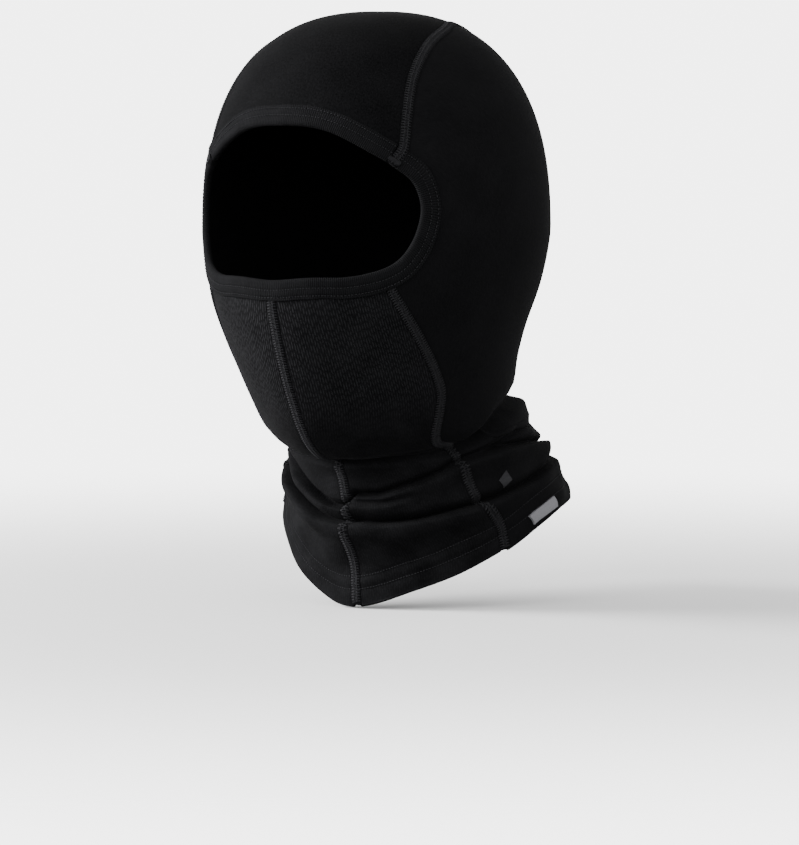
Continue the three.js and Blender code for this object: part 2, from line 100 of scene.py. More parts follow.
# How far the hem stands above its plain course, as (angle, mm); it fades out above HEM_LEVEL - SWAY_REACH.
HEM_SWAY = [(-40, 0), (-14, -2), (24, 6), (75, 0), (118, -4), (165, 0)]
SWAY_REACH = 0.3

# Guide lines on the wearer's left half, as (angle, level).
OPENING_EDGE = [
    (0, 0.691), (18, 0.707), (31, 0.757), (40.5, 0.804), (48, 0.86), (50, 0.925),
    (48.5, 0.988), (44.7, 1.055), (37.8, 1.09), (24, 1.107), (0, 1.114)]
CROWN_SEAM = [
    (46, 0.672), (49.5, 0.556), (60, 0.43), (84, 0.325), (119, 0.28), (148, 0.42), (160, 0.74),
    (164, 1.05), (163, 1.35), (162, 1.65), (159, 1.95), (157, HEM_LEVEL)]
SIDE_SEAM = [
    (50, 1.216), (57.5, 1.304), (63, 1.39), (65.5, 1.464), (64.5, 1.53), (62, 1.6), (58, 1.69),
    (54.5, 1.78), (54, 1.87), (56, 1.97), (60, 2.07), (61, 2.16), (61.5, HEM_LEVEL)]


# ---- The smooth surface ----

def chart(angle, level):
    turn = np.radians(angle)
    return np.stack(np.broadcast_arrays(level * np.sin(turn), -level * np.cos(turn)), -1)


def polar(place):
    return np.stack([np.arctan2(place[..., 0], -place[..., 1]), np.hypot(place[..., 0], place[..., 1])], -1)


def from_polar(pair):
    return np.stack([pair[..., 1] * np.sin(pair[..., 0]), -pair[..., 1] * np.cos(pair[..., 0])], -1)


def mirrored(place):
    return place * np.array([-1.0, 1.0])


def on_side(hand, place):
    return place if hand > 0 else mirrored(place)


def rings_at(level):
    knots, values = RINGS[:, 0], RINGS[:, 1:]
    slopes = np.empty_like(values)
    slopes[1:-1] = (values[2:] - values[:-2]) / (knots[2:] - knots[:-2])[:, None]
    slopes[0] = (values[1] - values[0]) / (knots[1] - knots[0])
    slopes[-1] = (values[-1] - values[-2]) / (knots[-1] - knots[-2])
    wanted = np.clip(level, knots[1], knots[-1])
    i = np.clip(np.searchsorted(knots, wanted, side="right") - 1, 0, len(knots) - 2)
    step = (knots[i + 1] - knots[i])[..., None]
    s = (wanted - knots[i])[..., None] / step
    return (values[i] * (2 * s**3 - 3 * s**2 + 1) + slopes[i] * step * (s**3 - 2 * s**2 + s)
            + values[i + 1] * (3 * s**2 - 2 * s**3) + slopes[i + 1] * step * (s**3 - s**2))


def ease(share):
    s = np.clip(share, 0, 1)
    return s * s * (3 - 2 * s)


def hem_sway(angle, level):
    degrees, sway = np.degrees(angle), 0
    for (start, low), (end, high) in zip(HEM_SWAY, HEM_SWAY[1:]):
        sway = sway + (high - low) * ease((degrees - start) / (end - start))
    return sway * ease((level - HEM_LEVEL + SWAY_REACH) / SWAY_REACH)


def skin(place):
    angle, level = np.moveaxis(polar(place), -1, 0)
    sin, cos = np.sin(angle), np.cos(angle)
    lift = np.minimum(level, 1) * math.pi / 2
    across, up = np.sin(lift), np.cos(lift)
    size = (across**ROUNDNESS + np.abs(up)**ROUNDNESS) ** (-1 / ROUNDNESS)
    z = HEIGHT * size * up
    dome_y = MIDDLE + LEAN * z - HALF_DEPTH * size * across * cos
    dome = np.stack([HALF_WIDTH * size * across * sin, dome_y, z], -1)
    front_y, front_z, back_y, back_z, half, taper, rise, skew = np.moveaxis(rings_at(level), -1, 0)
    x = half * sin * (1 - taper * np.maximum(cos, 0) ** 2)
    y = (front_y + back_y) / 2 + (front_y - back_y) / 2 * cos
    z = (front_z + back_z) / 2 + (front_z - back_z) / 2 * cos + rise * sin**2 - skew * sin
    z = z + hem_sway(angle, level)
    return np.where((level <= 1)[..., None], dome, np.stack([x, y, z], -1))


def slopes_of(surface, place, step=1e-3):
    dx, dy = np.array([step, 0.0]), np.array([0.0, step])
    return [(surface(place + d) - surface(place - d)) / (2 * step) for d in (dx, dy)]


def unit(vector):
    return vector / np.maximum(np.linalg.norm(vector, axis=-1, keepdims=True), 1e-12)


def dot(a, b):
    return (a * b).sum(-1)


def chart_step(place, direction):
    """The chart's step for one millimetre over the surface in a 3-D direction."""
    along_x, along_y = slopes_of(skin, place)
    a, b, c = dot(along_x, along_x), dot(along_x, along_y), dot(along_y, along_y)
    p, q = dot(along_x, direction), dot(along_y, direction)
    return np.stack([c * p - b * q, a * q - b * p], -1) / (a * c - b * b)[..., None]


# ---- The folds of the gathered neck ----

# Each fold is its depth and ridge in mm, the softness of its upper and lower side, its roll's size, and
# its crease line of (angle, level, strength). The cloth sinks in above the line, and rolls out below it.
FOLDS = [
    # Under the chin.
    (5.5, 1.8, 3.2, 1.8, 4, [(-80, 1.83, 0), (-50, 1.81, 0.8), (-23, 1.8, 1), (0, 1.79, 1),
        (14, 1.79, 0.9), (30, 1.8, 0.5), (48, 1.815, 0.3), (62, 1.82, 0)]),
    # The upper crease, from the wearer's right round the front and the left to the nape.
    (5.6, 3.0, 2.8, 1.2, 3.0, [(-110, 1.9, 0), (-75, 1.895, 0.9), (-50, 1.893, 1.3), (-34, 1.902, 1.4),
        (-26, 1.916, 1.3), (-18, 1.944, 1.1), (-9, 1.958, 1), (-2, 1.956, 1), (4, 1.908, 1),
        (16, 1.908, 1), (25, 1.896, 1), (34, 1.889, 1), (44, 1.88, 1), (51, 1.868, 1), (58, 1.864, 1),
        (68, 1.86, 1), (77, 1.862, 1), (90, 1.874, 1), (107, 1.888, 1), (122, 1.91, 0.9),
        (150, 1.94, 0.5), (178, 1.95, 0)]),
    # A short crease beside the centre seam.
    (3.4, 1.0, 1.8, 1.1, 1.8, [(-1, 1.95, 0), (4, 1.932, 1), (12, 1.934, 1), (18, 1.936, 0.9),
        (26, 1.928, 0.5), (34, 1.925, 0)]),
    # The lower crease, right round the neck.
    (7.0, 3.4, 3.4, 1.3, 3.4, [(-178, 2.0, 0.35), (-130, 2.02, 0.5), (-90, 2.03, 0.8), (-60, 2.0, 1.2),
        (-41, 1.995, 1.4), (-33, 2.002, 1.4), (-24, 2.012, 1.3), (-14, 2.018, 1.1), (-3, 2.016, 1),
        (7, 2.002, 1), (15, 2.008, 1), (24, 2.013, 1), (32, 2.02, 1), (40, 2.025, 1), (48, 2.033, 1),
        (57, 2.041, 1), (66, 2.052, 1), (74, 2.053, 0.95), (86, 2.056, 0.9), (95, 2.05, 0.9),
        (106, 2.035, 0.8), (140, 2.0, 0.6), (178, 2.0, 0.35)]),
    # Under the back of the head, on the wearer's left.
    (6.4, 3.8, 6, 4.0, 8, [(46, 1.83, 0), (54, 1.82, 0.6), (66, 1.795, 0.9), (82, 1.704, 1),
        (94, 1.636, 1), (106, 1.604, 1), (126, 1.58, 1), (145, 1.62, 0.7), (165, 1.68, 0)]),
    # The next crease below it.
    (4.0, 1.4, 3.4, 2.2, 4.6, [(66, 1.858, 0), (74, 1.846, 1), (82, 1.82, 1.1), (94, 1.79, 1.1),
        (107, 1.77, 0.8), (128, 1.755, 0.5), (150, 1.78, 0.5), (170, 1.8, 0)]),
    # The nape draws in below that crease.
    (4.6, 0, 4, 6.5, 4, [(88, 1.8, 0), (108, 1.8, 0.8), (128, 1.797, 1), (150, 1.795, 0.6),
        (172, 1.8, 0)]),
    # Under the back of the head, on the wearer's right.
    (1.8, 2.0, 6, 2.4, 4.5, [(-165, 1.8, 0), (-140, 1.76, 0.7), (-110, 1.69, 1), (-88, 1.72, 0.8),
        (-72, 1.76, 0)]),
    # The nape, on the wearer's right.
    (1.5, 1.6, 5, 2.2, 4, [(-178, 1.84, 0.9), (-160, 1.845, 0.8), (-135, 1.83, 0.5), (-120, 1.82, 0)]),
    # The neck draws in on the wearer's right.
    (6.0, 0, 9, 8, 4, [(-120, 1.92, 0), (-92, 1.925, 0.9), (-70, 1.93, 1), (-48, 1.94, 0.5),
        (-30, 1.95, 0)]),
    # A soft hollow over the hem.
    (1.5, 0.7, 6, 4, 6, [(-62, 2.13, 0), (-45, 2.12, 0.8), (-25, 2.1, 1), (-8, 2.085, 0.4),
        (0, 2.08, 0)]),
]
LIP = 0.45                   # how far a roll rides up over its crease, as a share of its ridge


def bump(distance, width):
    return np.exp(-(distance / width) ** 2)


def fold_shift(angle, level, reach):
    """Height of the folded cloth over the smooth surface, and its slip down over it, in mm."""
    degrees = np.degrees(angle)
    height, slip = np.zeros_like(level), np.zeros_like(level)
    for depth, ridge, soft, sharp, roll, line in FOLDS:
        line = np.array(line)
        inside = (degrees >= line[0, 0]) & (degrees <= line[-1, 0])
        crease = np.interp(degrees, line[:, 0], line[:, 1])
        strength = np.interp(degrees, line[:, 0], line[:, 2]) * inside
        s = (level - crease) * reach
        groove = np.where(s < 0, bump(s, soft), bump(s, sharp))
        t = np.maximum(s + 0.6, 0) / roll
        crest = t * np.exp(1 - t)
        height += strength * (ridge * crest - depth * groove)
        slip -= strength * LIP * ridge * bump(s - 0.6 * roll, 0.7 * roll)
    return height, slip


def waves(angle, level):
    """Slow unevenness: almost none on the head, more in the neck."""
    neck = 1 / (1 + np.exp(-(level - 1.72) * 22))
    slow = (np.sin(3 * angle + 1.3 + 4 * level) + 0.7 * np.sin(5 * angle - 2.1 - 7 * level)
            + 0.5 * np.sin(9 * angle + 0.4 + 11 * level)) * 0.42
    loose = 0.55 * np.sin(13 * angle + 9 * level) * np.sin(26 * level + 2 * angle)
    degrees = np.degrees(angle)
    flare = 2.6 * bump(degrees + 42, 24) * bump(level - 2.3, 0.14)
    draw = 5.5 * bump(degrees + 76, 28) * bump(level - 2.11, 0.11)
    return neck * (slow + loose) + (1 - neck) * 0.12 * slow + flare - draw


def edge_distance(place):
    return np.linalg.norm(skin(place) - skin(from_polar(np.stack(
        [polar(place)[..., 0], np.full(place.shape[:-1], HEM_LEVEL)], -1))), axis=-1)


def cloth(place):
    """A point of the folded surface."""
    point = skin(place)
    along_x, along_y = slopes_of(skin, place)
    normal = unit(np.cross(along_x, along_y))
    angle, level = np.moveaxis(polar(place), -1, 0)
    down = unit(place)
    downward = along_x * down[..., :1] + along_y * down[..., 1:]
    reach = np.linalg.norm(downward, axis=-1)
    height, slip = fold_shift(angle, level, reach)
    height = height + waves(angle, level)
    hem = edge_distance(place)
    for row in HEM_ROWS.values():
        height = height - 0.3 * bump(hem - row, 1.3)
    height = height + 0.35 * bump(hem - 11.2, 2.0) + 0.3 * bump(hem - 4, 2.6)
    calm = np.clip(hem / 6, 0, 1)
    return point + normal * height[..., None] + unit(downward) * (slip * calm)[..., None]


def smooth_normal(place):
    return unit(np.cross(*slopes_of(skin, place)))


# ---- Lines ----

class Line:
    """A smooth line through chart places, read by its length over the smooth surface."""

    def __init__(self, places, closed=False):
        p = np.asarray(places, float)
        ext = np.vstack([p[-1:], p, p[:2]] if closed else [2 * p[:1] - p[1:2], p, 2 * p[-1:] - p[-2:-1]])
        share = np.linspace(0, 1, 40, endpoint=False)[:, None]
        runs = []
        for a, b, c, d in zip(ext, ext[1:], ext[2:], ext[3:]):
            ab, bc, cd = (math.sqrt(np.linalg.norm(v)) for v in (b - a, c - b, d - c))
            start = ((b - a) / ab - (c - a) / (ab + bc) + (c - b) / bc) * bc
            end = ((c - b) / bc - (d - b) / (bc + cd) + (d - c) / cd) * bc
            runs.append(b * (2 * share**3 - 3 * share**2 + 1) + start * (share**3 - 2 * share**2 + share)
                        + c * (3 * share**2 - 2 * share**3) + end * (share**3 - share**2))
        self.fine = np.vstack([*runs, ext[-2:-1] if not closed else p[:1]])
        steps = np.linalg.norm(np.diff(skin(self.fine), axis=0), axis=-1)
        self.reach = np.concatenate([[0], np.cumsum(steps)])
        self.total = self.reach[-1]

    def at(self, distance):
        d = np.asarray(distance, float)
        return np.stack([np.interp(d, self.reach, self.fine[:, k]) for k in (0, 1)], -1)

    def where_level(self, level):
        """The distance at which the line passes a level, on its last stretch."""
        levels = np.linalg.norm(self.fine, axis=-1)
        first = len(levels) - 1
        while first > 0 and levels[first - 1] < levels[first]:
            first -= 1
        return np.interp(level, levels[first:], self.reach[first:])


def side_steps(places):
    """The chart's step for one millimetre to the left of a line, seen from outside."""
    points = skin(places)
    direction = unit(np.gradient(points, axis=0))
    return chart_step(places, np.cross(smooth_normal(places), direction))


def beside(places, across):
    """Places at several distances beside a line: one row for each of its places."""
    return places[:, None] + side_steps(places)[:, None] * np.asarray(across, float)[..., None]


def off_opening(distance, reach):
    distance = np.atleast_1d(distance).astype(float)
    trio = [opening.at((distance + d) % opening.total) for d in (-1, 0, 1)]
    direction = unit(skin(trio[2]) - skin(trio[0]))
    step = chart_step(trio[1], np.cross(smooth_normal(trio[1]), direction))
    return trio[1] + step * reach


left_edge = np.array([chart(*pair) for pair in OPENING_EDGE])
opening = Line([*left_edge, *mirrored(left_edge[1:-1][::-1])], closed=True)


def nearest_on_opening(place):
    distances = np.arange(0, opening.total / 2, 0.25)
    gaps = np.linalg.norm(skin(opening.at(distances)) - skin(place), axis=-1)
    return distances[gaps.argmin()]


crown_start = nearest_on_opening(chart(40.5, 0.8))
side_start = nearest_on_opening(chart(40, 1.09))
centre_start = opening.total / 2


def seam_line(start, reach, guide):
    near = [off_opening(start, r)[0] for r in (reach, BINDING_WIDTH)]
    return Line([*near, *(chart(*pair) for pair in guide)])


crown_line = seam_line(crown_start, 0.4, CROWN_SEAM)
side_line = seam_line(side_start, PANEL_INSET, SIDE_SEAM)
centre_line = Line([off_opening(centre_start, PANEL_INSET)[0], chart(0, 1.5), chart(0, HEM_LEVEL)])

# ---- Meshes ----


def make_object(name, points, faces, uv=None):
    mesh = bpy.data.meshes.new(name)
    mesh.from_pydata((np.asarray(points).reshape(-1, 3) * MM).tolist(), [], faces)
    if uv is not None:
        layer = mesh.uv_layers.new(name="Cut")
        corner = np.empty(len(mesh.loops), np.int32)
        mesh.loops.foreach_get("vertex_index", corner)
        layer.uv.foreach_set("vector", np.asarray(uv, np.float32).reshape(-1, 2)[corner].ravel())
    mesh.polygons.foreach_set("use_smooth", np.full(len(mesh.polygons), True))
    mesh.validate()
    mesh.update()
    piece = bpy.data.objects.new(name, mesh)
    bpy.context.scene.collection.objects.link(piece)
    return piece


def grid_faces(rows, columns, start=0, wrap_columns=False):
    i = np.arange(rows - 1)[:, None]
    j = np.arange(columns if wrap_columns else columns - 1)[None]
    i2, j2 = i + 1, (j + 1) % columns
    quads = np.stack([i * columns + j, i2 * columns + j, i2 * columns + j2, i * columns + j2], -1)
    return (quads.reshape(-1, 4) + start).tolist()


def rim_of(rows, columns):
    top = [(0, j) for j in range(columns - 1)]
    right = [(i, columns - 1) for i in range(rows - 1)]
    bottom = [(rows - 1, j) for j in range(columns - 1, 0, -1)]
    left = [(i, 0) for i in range(rows - 1, 0, -1)]
    return np.array(top + right + bottom + left)


def tube_faces(rows, around):
    faces = grid_faces(rows, around, wrap_columns=True)
    return faces + [list(range(around)), list(range(rows * around - 1, (rows - 1) * around - 1, -1))]


def tube(name, rings, uv):
    """A closed body swept through rings of points, (stations, points round, 3)."""
    return make_object(name, rings, outward(rings, tube_faces(*rings.shape[:2])), uv)


def outward(points, faces):
    p = np.asarray(points).reshape(-1, 3)
    quads = np.array([face[:3] for face in faces])
    a, b, c = p[quads[:, 0]], p[quads[:, 1]], p[quads[:, 2]]
    if np.einsum("ij,ij->i", a, np.cross(b, c)).sum() > 0:
        return faces
    return [face[::-1] for face in faces]


def strands(name, paths, ups, radius, sides=6):
    """Many short threads in one mesh: paths and ups are (threads, points, 3)."""
    count, length = paths.shape[:2]
    direction = unit(np.gradient(paths, axis=1))
    side = unit(np.cross(ups, direction))
    up = np.cross(direction, side)
    turn = np.arange(sides) * 2 * math.pi / sides
    taper = np.ones(length)
    taper[[0, -1]] = 0.55
    size = radius * taper[None, :, None, None]
    rings = paths[:, :, None] + size * (np.cos(turn)[:, None] * side[:, :, None]
                                        + np.sin(turn)[:, None] * up[:, :, None])
    one = outward(rings[0] - rings[0].mean((0, 1)), tube_faces(length, sides))
    faces = [[v + k * length * sides for v in face] for k in range(count) for face in one]
    across = np.broadcast_to(turn / (2 * math.pi) * 2, (count, length, sides))
    steps = np.linalg.norm(np.diff(paths, axis=1), axis=-1)
    along = np.concatenate([np.zeros((count, 1)), np.cumsum(steps, 1)], 1)
    along = np.broadcast_to(along[:, :, None], across.shape) + np.arange(count)[:, None, None] * 7.3
    return make_object(name, rings, faces, np.stack([across, along], -1))


# ---- Fabric panels ----

NECK_LEVEL = 1.6             # from here down the rows follow the levels, close together
NECK_ROWS = 150
RIM_DIP = {0.0: 0.45, 0.5: 0.16, 1.3: 0.0}


def thickness_at(hem):
    """The fabric's thickness, doubled by the turned-up hem near its edge."""
    return FABRIC + (HEM_THICKNESS - FABRIC) / (1 + np.exp((hem - HEM_DEPTH) / 0.35))


def mix_polar(a, b, share, through_back=False):
    a, b = polar(a), polar(b)
    if through_back:
        a[..., 0], b[..., 0] = a[..., 0] % (2 * math.pi), b[..., 0] % (2 * math.pi)
    return from_polar(a[:, None] + (b - a)[:, None] * share[..., None])


def shares(start, end, columns):
    """Shares across each row, with two close columns inside each edge."""
    width = np.linalg.norm(skin(start) - skin(end), axis=-1)[:, None]
    near = np.array([0.5, 1.3]) / np.maximum(width, 12)
    inner = near[:, -1:] + (1 - 2 * near[:, -1:]) * np.arange(1, columns - 4) / (columns - 4)
    return np.hstack([np.zeros_like(width), near, inner, 1 - near[:, ::-1], np.ones_like(width)])


def cumulative(points, axis, origin):
    steps = np.linalg.norm(np.diff(points, axis=axis), axis=-1)
    run = np.cumsum(steps, axis)
    run = np.concatenate([np.zeros_like(np.take(run, [0], axis)), run], axis)
    return run - np.take(run, [origin], axis)


def cloth_panel(name, places, origin_row, origin_column, dip):
    """A panel of fabric: outside, rounded rim and inside over one net of places. dip sinks its edges."""
    rows, columns = places.shape[:2]
    points = cloth(places)
    normal = smooth_normal(places)
    outside = points - normal * dip[..., None]
    hem = edge_distance(places)
    thickness = thickness_at(hem)
    inside = points - normal * thickness[..., None]
    rim = rim_of(rows, columns)
    inner = np.clip(rim, 1, [rows - 2, columns - 2])
    i, j = rim.T
    away = unit(points[i, j] - points[inner[:, 0], inner[:, 1]])
    half = thickness[i, j][:, None]
    bulge = np.where(hem[i, j][:, None] < 1, 0.9, 0.16)
    middle = (points[i, j] - normal[i, j] * half * 0.5) + away * bulge
    uv = np.stack([cumulative(points, 1, origin_column), cumulative(points, 0, origin_row)], -1)
    faces = grid_faces(rows, columns)
    count = rows * columns
    faces += [face[::-1] for face in grid_faces(rows, columns, count)]
    ring = i * columns + j
    following = np.roll(ring, -1)
    m = 2 * count + np.arange(len(ring))
    m_next = np.roll(m, -1)
    faces += np.stack([following, ring, m, m_next], -1).tolist()
    faces += np.stack([m_next, m, ring + count, following + count], -1).tolist()
    all_points = np.vstack([outside.reshape(-1, 3), inside.reshape(-1, 3), middle])
    all_uv = np.vstack([uv.reshape(-1, 2), uv.reshape(-1, 2), uv[i, j]])
    return make_object(name, all_points, outward(all_points, faces), all_uv)


def edge_dip(rows, columns, top=False):
    """How deep each place of a net sinks: only its two side edges, and its top where asked."""
    values = list(RIM_DIP.values())
    across = np.zeros(columns)
    across[:3] = values
    across[-3:] = values[::-1]
    dip = np.broadcast_to(across, (rows, columns)).copy()
    if top:
        dip[0] = np.maximum(dip[0], values[0])
    return dip


def neck_distances(line):
    return line.where_level(np.linspace(NECK_LEVEL, HEM_LEVEL, NECK_ROWS + 1)[1:])


# The rows of the CAD's panels, which the rows here follow near the opening.
CAD_TURN, CAD_OPENING_ROWS, CAD_ROWS = 19, 11, 27
crown_stations = np.concatenate([[0, 1.6, 5, BINDING_WIDTH],
                                 np.linspace(BINDING_WIDTH + 1, crown_line.total, 43)])


def crown_panel():
    head = np.concatenate([np.linspace(1.6, BINDING_WIDTH, 6),
                           np.linspace(BINDING_WIDTH + 1.9, crown_line.where_level(NECK_LEVEL), 150)])
    distances = np.concatenate([head, neck_distances(crown_line)])
    seam = crown_line.at(distances)
    left = beside(seam, [SEAM_SIDE])[:, 0]
    right = mirrored(left)
    columns = 46
    share = shares(left, right, columns)
    flat = left[:, None] + (right - left)[:, None] * share[..., None]
    around = mix_polar(left, right, share, through_back=True)
    low = np.clip((np.linalg.norm(left, axis=-1) - 0.8) / 0.5, 0, 1)[:, None, None]
    low = low * low * (3 - 2 * low) * (polar(left)[:, 0] > math.radians(120))[:, None, None]
    places = flat * (1 - low) + around * low
    reach = (crown_start - SEAM_SIDE) * (1 - 2 * share[0])
    brow = off_opening(np.abs(reach), PANEL_INSET)
    brow = np.where((reach < 0)[:, None], mirrored(brow), brow)
    brow[0], brow[-1] = left[0], right[0]
    index = np.interp(distances, crown_stations[1:], np.arange(len(crown_stations) - 1))
    hold = np.maximum(0, 1 - index / 8) ** 2
    places = places + hold[:, None, None] * (brow - places[0])
    dip = edge_dip(*places.shape[:2])
    return cloth_panel("crown_panel_fabric", places, 0, places.shape[1] // 2, dip)


def side_panel(side, hand):
    opening_rows, head_rows = 40, 26
    turn = crown_stations[CAD_TURN]
    split = crown_stations[CAD_TURN + CAD_OPENING_ROWS]
    upper = np.linspace(crown_start + SEAM_SIDE, side_start - SEAM_SIDE, opening_rows + 1)
    front_upper = off_opening(upper, PANEL_INSET)[:-1]
    front_low = np.concatenate([np.linspace(0, side_line.where_level(NECK_LEVEL), head_rows),
                                neck_distances(side_line)])
    front_lower = beside(side_line.at(front_low), [SEAM_SIDE])[:, 0]
    front = np.vstack([front_upper, front_lower])
    back_distances = np.concatenate([
        np.linspace(turn, split, opening_rows + 1)[:-1],
        np.linspace(split, crown_line.where_level(NECK_LEVEL), head_rows), neck_distances(crown_line)])
    back = beside(crown_line.at(back_distances), [-SEAM_SIDE])[:, 0]
    columns = 74
    share = shares(front, back, columns)
    top_distances = crown_stations[1] + (turn - crown_stations[1]) * share[0]
    top = beside(crown_line.at(top_distances), [-SEAM_SIDE])[:, 0]
    front[0], back[0] = top[0], top[-1]
    places = mix_polar(front, back, share)
    index = np.concatenate([np.linspace(0, CAD_OPENING_ROWS, opening_rows + 1)[:-1],
                            CAD_OPENING_ROWS + 16 * front_low / side_line.total])
    hold = np.maximum(0, 1 - index / (CAD_ROWS + 1)) ** 2
    places = places + hold[:, None, None] * (top - places[0])
    places = on_side(hand, places)
    dip = edge_dip(*places.shape[:2], top=True)
    return cloth_panel(f"side_panel_{side}_fabric", places, opening_rows + head_rows, columns // 2, dip)


def front_panel(side, hand):
    head_rows, columns = 34, 42

    def rows_of(line):
        head = np.linspace(0, line.where_level(NECK_LEVEL), head_rows)
        return np.concatenate([head, neck_distances(line)])

    centre = beside(centre_line.at(rows_of(centre_line)), [SEAM_SIDE])[:, 0]
    outer = beside(side_line.at(rows_of(side_line)), [-SEAM_SIDE])[:, 0]
    share = shares(centre, outer, columns)
    start, end = centre_start - SEAM_SIDE, side_start + SEAM_SIDE
    top = off_opening(start + (end - start) * share[0], PANEL_INSET)
    top[0], top[-1] = centre[0], outer[0]
    places = mix_polar(centre, outer, share)
    index = 16 * rows_of(side_line) / side_line.total
    hold = np.maximum(0, 1 - index / 6) ** 2
    places = on_side(hand, places + hold[:, None, None] * (top - places[0]))
    dip = edge_dip(*places.shape[:2])
    return cloth_panel(f"front_panel_{side}_fabric", places, head_rows, columns // 2, dip)


# ---- Bindings ----

def binding_section():
    """The binding's closed outline, as (distance from its fold, height): fold, top layer, lower layer."""
    def top(d):
        puff = 0.16 * math.sin(math.pi * d / BINDING_WIDTH)
        return BINDING_SKIN + puff - sum(0.34 * bump(d - row, 0.55) for row in BINDING_ROWS.values())

    upper = [(d, top(d)) for d in np.linspace(1.6, BINDING_WIDTH - 0.35, 22)]
    middle = (BINDING_SKIN + BINDING_BOTTOM) / 2
    half = (BINDING_SKIN - BINDING_BOTTOM) / 2
    turns = np.radians(np.linspace(-80, 80, 9))
    fold = [(1.7 - 1.7 * math.cos(a), middle + half * math.sin(a)) for a in turns]
    lower = [(d, BINDING_BOTTOM) for d in np.linspace(BINDING_WIDTH - 0.35, 2, 8)]
    slot = [(BINDING_WIDTH - 0.1, 0.6), (BINDING_WIDTH - 0.25, 0.2), (6, 0.15), (1.6, 0.15),
            (1.6, -FABRIC - 0.3), (BINDING_WIDTH - 0.2, -FABRIC - 0.35), (BINDING_WIDTH, -FABRIC - 0.8)]
    return np.array([*fold, *upper, *slot, *lower])


def binding(name, start, end):
    count = int(round((end - start) / 1.2))
    distances = np.linspace(start, end, count + 1)
    middle = opening.at(distances % opening.total)
    section = binding_section()
    ripple = 0.10 * np.sin(distances / 2.3 + 1.0) + 0.12 * np.sin(distances / 5.1)
    across = section[:, 0] + ripple[:, None] * (section[:, 0] > 5)
    places = beside(middle, across)
    heights = section[:, 1] + 0.5 * ripple[:, None] * (section[:, 1] > 0)
    rings = cloth(places) + smooth_normal(places) * heights[..., None]
    round_it = np.concatenate([[0], np.cumsum(np.linalg.norm(np.diff(section, axis=0), axis=-1))])
    uv = np.stack(np.broadcast_arrays(round_it[None], distances[:, None]), -1)
    return tube(name, rings, uv)


# ---- Seams ----

def seam_lift(line, distances):
    """A crown seam passes through the binding, as thick as the binding, then drops to the fabric."""
    if line is not crown_line:
        return np.zeros_like(distances)
    return BINDING_SKIN / (1 + np.exp((distances - BINDING_WIDTH - 0.6) / 0.55))


def seam_bed(name, line, hand):
    distances = np.linspace(0, line.total, int(line.total / 1.1))
    places = on_side(hand, line.at(distances))
    top = np.linspace(-1, 1, 9)
    section = np.array([*((s, 0.05 + 0.16 * (1 - s * s) - 0.2 * abs(s) ** 6) for s in top),
                        (0.96, -0.75), (0.5, -1), (-0.5, -1), (-0.96, -0.75)])
    bed_places = beside(places, section[:, 0] * SEAM_WIDTH / 2)
    lift = seam_lift(line, distances)[:, None]
    depth = thickness_at(edge_distance(places))[:, None] + lift
    is_top = section[:, 1] > -0.5
    heights = np.where(is_top, section[:, 1] + lift, section[:, 1] * depth)
    rings = cloth(bed_places) + smooth_normal(bed_places) * heights[..., None]
    across = np.broadcast_to(section[:, 0] * SEAM_WIDTH / 2, heights.shape)
    uv = np.stack([across, np.broadcast_to(distances[:, None], heights.shape)], -1)
    return tube(name, rings, uv)


RUNG_PITCH = 1.4


def seam_threads(name, line, hand, seed):
    """Covering threads over a seam: rungs across it, their return strands, and two lengthwise rows."""
    chance = np.random.default_rng(seed)
    stations = np.arange(0.8, line.total - 1.2, RUNG_PITCH)
    stations = stations + chance.uniform(-0.12, 0.12, len(stations))
    paths, ups = [], []

    def lay(along, across, height):
        """along is (threads, points); across and height are stretched to its shape."""
        across, height = (np.broadcast_to(values, along.shape) for values in (across, height))
        flat = np.clip(along, 0, line.total).ravel()
        centre = on_side(hand, line.at(flat))
        ahead = on_side(hand, line.at(np.clip(flat + 0.5, 0, line.total)))
        behind = on_side(hand, line.at(np.clip(flat - 0.5, 0, line.total)))
        normal = smooth_normal(centre)
        step = chart_step(centre, np.cross(normal, unit(skin(ahead) - skin(behind))))
        place = centre + step * across.ravel()[:, None]
        point = cloth(place) + smooth_normal(place) * (height.ravel() + seam_lift(line, flat))[:, None]
        paths.append(point.reshape(*along.shape, 3))
        ups.append(normal.reshape(*along.shape, 3))

    s = np.linspace(-1, 1, 7)
    half = SEAM_WIDTH / 2 - 0.1
    n = len(stations)
    wobble = chance.uniform(-0.15, 0.15, (n, 1))
    arch = 0.08 + 0.20 * (1 - s * s) + 0.14 * (1 - s**4)
    rung_along = stations[:, None] + 0.22 * s[None] + wobble * s[None] ** 2
    lay(rung_along, s * half, arch)
    back_along = stations[:, None] + RUNG_PITCH * (0.5 - 0.36 * s[None])
    lay(back_along, s * half * 0.94, arch - 0.07)
    for across in (-0.95, 0.95):
        along = stations[:, None] + RUNG_PITCH * 0.46 * s[None]
        sideways = across + 0.16 * np.sin(math.pi * s)[None] + chance.uniform(-0.06, 0.06, (n, 1))
        base = 0.08 + 0.32 * (1 - (across / half) ** 2)
        lay(along, sideways, base + 0.2 * (1 - s**4)[None])
    return strands(name, np.concatenate(paths), np.concatenate(ups), 0.24, sides=5)


# ---- Rows of stitches ----

def stitches(name, places_at, total, height, pitch=1.5, length=0.95, seed=1, radius=0.27):
    """Separate stitches along a line; places_at gives the places for an array of distances."""
    chance = np.random.default_rng(seed)
    count = int(total / pitch)
    middle = (np.arange(count) + 0.5) * total / count + chance.uniform(-0.07, 0.07, count)
    t = np.linspace(-1, 1, 6)
    along = middle[:, None] + length / 2 * t[None]
    place = places_at(along)
    up = smooth_normal(place)
    arch = height - 0.36 * t**4 + chance.uniform(-0.04, 0.04, (count, 1))
    return strands(name, cloth(place) + up * arch[..., None], up, radius, sides=5)


